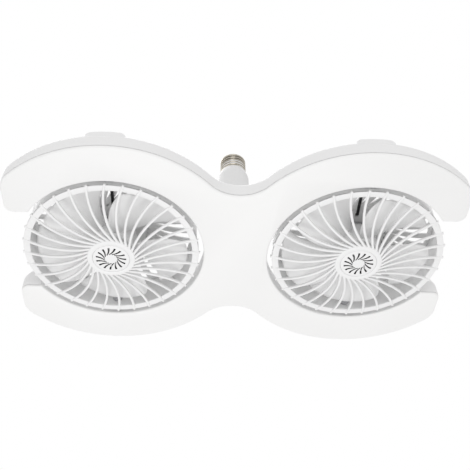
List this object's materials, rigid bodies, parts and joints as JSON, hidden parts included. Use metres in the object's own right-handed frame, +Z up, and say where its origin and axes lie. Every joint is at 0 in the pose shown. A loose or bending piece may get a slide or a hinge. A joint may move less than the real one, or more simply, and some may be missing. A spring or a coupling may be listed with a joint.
{
  "type": "twin-head fan light",
  "caption": "Hourglass ceiling lamp panel with tilting fan heads set in its round openings, and a screw lamp cap on a stem at the back.",
  "frame": {"origin": "on the axis of the screw lamp cap, at the lower edge of its screw shell", "axes": "+Z up along the cap into the lamp holder, +X from the left head to the right head, -Y the near side"},
  "size_m": [0.411, 0.2444, 0.1544],
  "materials": {
    "body_white": "smooth moulded white, satin",
    "opal_face": "opal white, satin, lit from behind",
    "neck_grey": "smooth moulded light grey, satin",
    "guard_white": "smooth moulded white",
    "badge_white": "smooth moulded white",
    "blade_grey": "light grey moulded",
    "board_white": "white solder mask on aluminium",
    "chip_yellow": "phosphor yellow",
    "circuit_green": "green solder mask",
    "winding_yellow": "yellow winding tape",
    "capacitor_black": "black sleeve",
    "screw_steel": "zinc plated",
    "motor_steel": "plated steel",
    "winding_copper": null,
    "magnet_dark": "sintered, dark",
    "cap_nickel": "nickel plated brass",
    "contact_brass": "bare, worn bright",
    "insulator_black": "black",
    "lead_black": "black sleeve",
    "bush_black": "self-lubricating black"
  },
  "bodies": {
    "housing": {"back_housing": "body_white", "light_diffuser": "opal_face", "led_board_left": "board_white", "led_board_right": "board_white", "led_chips": "chip_yellow", "board_screws": "screw_steel", "driver_board": "circuit_green", "driver_transformer": "winding_yellow", "driver_capacitors": "capacitor_black", "neck_housing": "neck_grey", "neck_screws": "screw_steel", "screw_shell": "cap_nickel", "cap_insulator": "insulator_black", "centre_contact": "contact_brass", "mains_leads": "lead_black", "lamp_leads": "lead_black", "pivot_bushes": "bush_black", "left_near_pivot_cover": "body_white", "left_far_pivot_cover": "body_white", "right_near_pivot_cover": "body_white", "right_far_pivot_cover": "body_white"},
    "left_head": {"left_front_guard": "guard_white", "left_hub_badge": "badge_white", "left_head_ring": "guard_white", "left_rear_guard": "guard_white", "left_rear_screws": "screw_steel", "left_motor_case": "motor_steel", "left_motor_stator": "winding_copper", "left_motor_bearings": "motor_steel", "left_motor_screws": "screw_steel", "left_motor_lead": "lead_black", "left_pivot_pins": "motor_steel", "left_pivot_nuts": "screw_steel"},
    "left_rotor": {"left_impeller": "blade_grey", "left_motor_shaft": "motor_steel", "left_motor_magnet": "magnet_dark"},
    "right_head": {"right_front_guard": "guard_white", "right_hub_badge": "badge_white", "right_head_ring": "guard_white", "right_rear_guard": "guard_white", "right_rear_screws": "screw_steel", "right_motor_case": "motor_steel", "right_motor_stator": "winding_copper", "right_motor_bearings": "motor_steel", "right_motor_screws": "screw_steel", "right_motor_lead": "lead_black", "right_pivot_pins": "motor_steel", "right_pivot_nuts": "screw_steel"},
    "right_rotor": {"right_impeller": "blade_grey", "right_motor_shaft": "motor_steel", "right_motor_magnet": "magnet_dark"}
  },
  "joints": [
    {"name": "left_head_tilt", "type": "hinge", "parent": "housing", "child": "left_head", "pos_m": [-0.1148, 0, -0.1065], "axis": [0, 1, 0], "range_deg": [-40, 40]},
    {"name": "left_rotor_spin", "type": "hinge", "parent": "left_head", "child": "left_rotor", "pos_m": [-0.1148, 0, -0.099], "axis": [0, 0, 1], "continuous": true},
    {"name": "right_head_tilt", "type": "hinge", "parent": "housing", "child": "right_head", "pos_m": [0.1148, 0, -0.1065], "axis": [0, 1, 0], "range_deg": [-40, 40]},
    {"name": "right_rotor_spin", "type": "hinge", "parent": "right_head", "child": "right_rotor", "pos_m": [0.1148, 0, -0.099], "axis": [0, 0, 1], "continuous": true}
  ]
}
